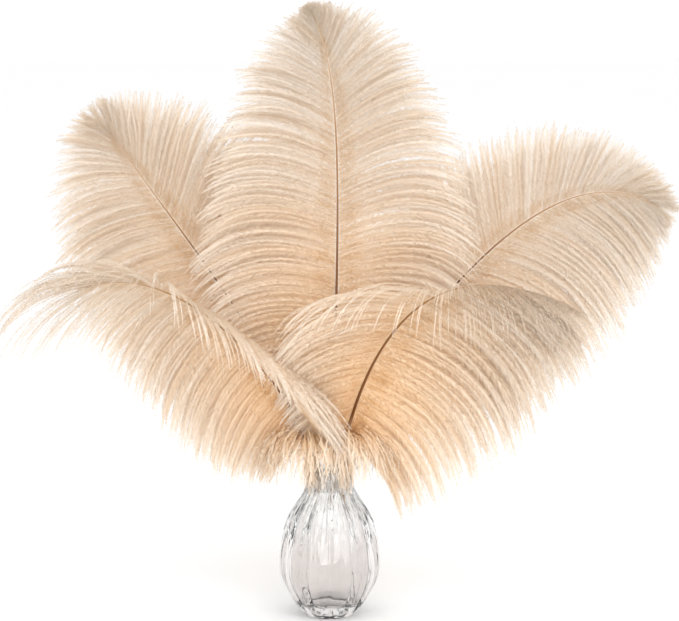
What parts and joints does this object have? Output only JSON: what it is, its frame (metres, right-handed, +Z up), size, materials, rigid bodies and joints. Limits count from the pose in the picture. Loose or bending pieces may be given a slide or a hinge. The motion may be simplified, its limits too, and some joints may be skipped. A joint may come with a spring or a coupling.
{
  "type": "ostrich feather arrangement in a bud vase",
  "caption": "Soft peach ostrich plumes with drooping tips, spread in a fan and standing in a small clear ribbed glass teardrop vase.",
  "frame": {"origin": "centre of the vase's flat foot, on the surface that it stands on", "axes": "+Z up the vase, +X to the right across the fan of plumes, -Y towards the viewer that the plumes' good faces look at"},
  "size_m": [0.477, 0.2351, 0.4309],
  "materials": {
    "glass": "clear and polished, pressed with shallow upright flutes",
    "feather": "matt, downy, dyed pale peach"
  },
  "bodies": {
    "root": {"vase": "glass", "feather_centre": "feather", "feather_left_back": "feather", "feather_right_back": "feather", "feather_left_front": "feather", "feather_right_front": "feather"}
  },
  "joints": []
}
